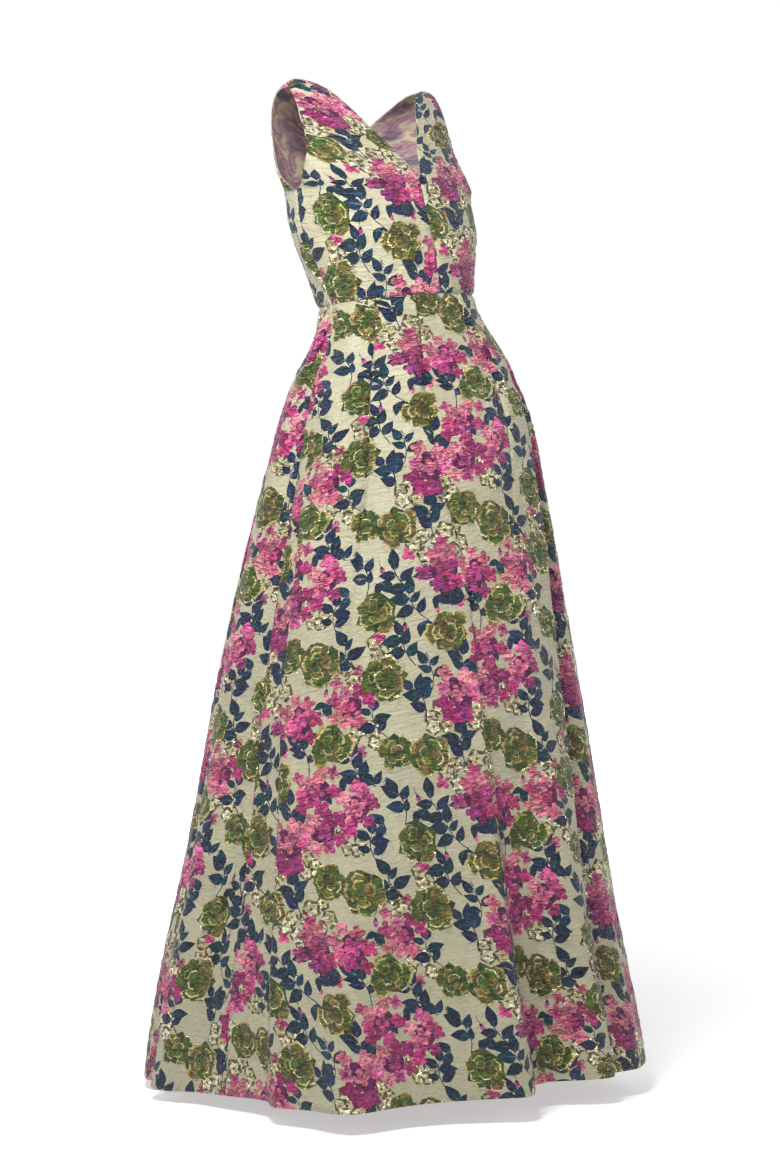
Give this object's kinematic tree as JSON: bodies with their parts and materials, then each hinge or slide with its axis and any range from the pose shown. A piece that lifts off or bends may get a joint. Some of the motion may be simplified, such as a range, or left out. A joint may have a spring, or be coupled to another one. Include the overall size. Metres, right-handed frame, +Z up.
{
  "type": "ball gown",
  "caption": "Sleeveless floor-length ball gown: fitted V-neck bodice, full skirt with pleats pressed in at the waist, floral jacquard, concealed back zip.",
  "frame": {"origin": "midway between the tops of the two shoulder straps, where the wearer's shoulders hold the gown up", "axes": "+Z up, from hem to shoulders; +X to the wearer's left; -Y is the front"},
  "size_m": [0.7084, 0.6812, 1.4777],
  "materials": {
    "jacquard": "crinkled floral jacquard with a soft sheen and metallic highlights",
    "zip_tape": "fine woven tape, matt",
    "zip_metal": "smooth pale plated metal"
  },
  "bodies": {
    "gown": {"bodice_front_right": "jacquard", "bodice_front_left": "jacquard", "bodice_back_right": "jacquard", "bodice_back_left": "jacquard", "skirt_front": "jacquard", "skirt_back_right": "jacquard", "skirt_back_left": "jacquard", "zip_tape": "zip_tape", "zip_slider": "zip_metal"},
    "zip_pull": {"zip_pull": "zip_metal"}
  },
  "joints": [
    {"name": "zip_pull_swing", "type": "hinge", "parent": "gown", "child": "zip_pull", "pos_m": [0.00934, 0.09579, -0.08922], "axis": [1, 0, 0], "range_deg": [0, 120]}
  ]
}
